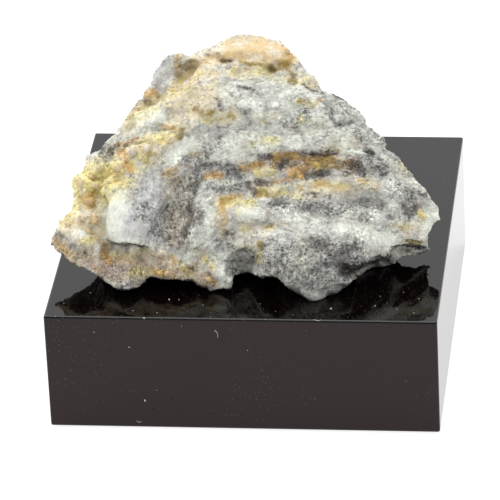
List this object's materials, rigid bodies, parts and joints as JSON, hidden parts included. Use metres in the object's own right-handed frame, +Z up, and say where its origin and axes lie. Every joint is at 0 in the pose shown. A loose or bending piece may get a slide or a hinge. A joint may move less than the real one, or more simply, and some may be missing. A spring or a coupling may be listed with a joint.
{
  "type": "siderite-bearing stone on a display block",
  "caption": "Rough triangular lump of banded, iron-stained siderite-bearing stone resting on a low square block of polished black acrylic.",
  "frame": {"origin": "centre of the block's underside", "axes": "+Z up; -Y is the front, the side the stone's broad broken face leans back from; +X to the viewer's right"},
  "size_m": [0.0303, 0.03, 0.0247],
  "materials": {
    "banded_stone": null,
    "black_acrylic": "polished black acrylic, sharp reflections, with fine scratches and dust"
  },
  "bodies": {
    "root": {"stone": "banded_stone", "display_block": "black_acrylic"}
  },
  "joints": []
}
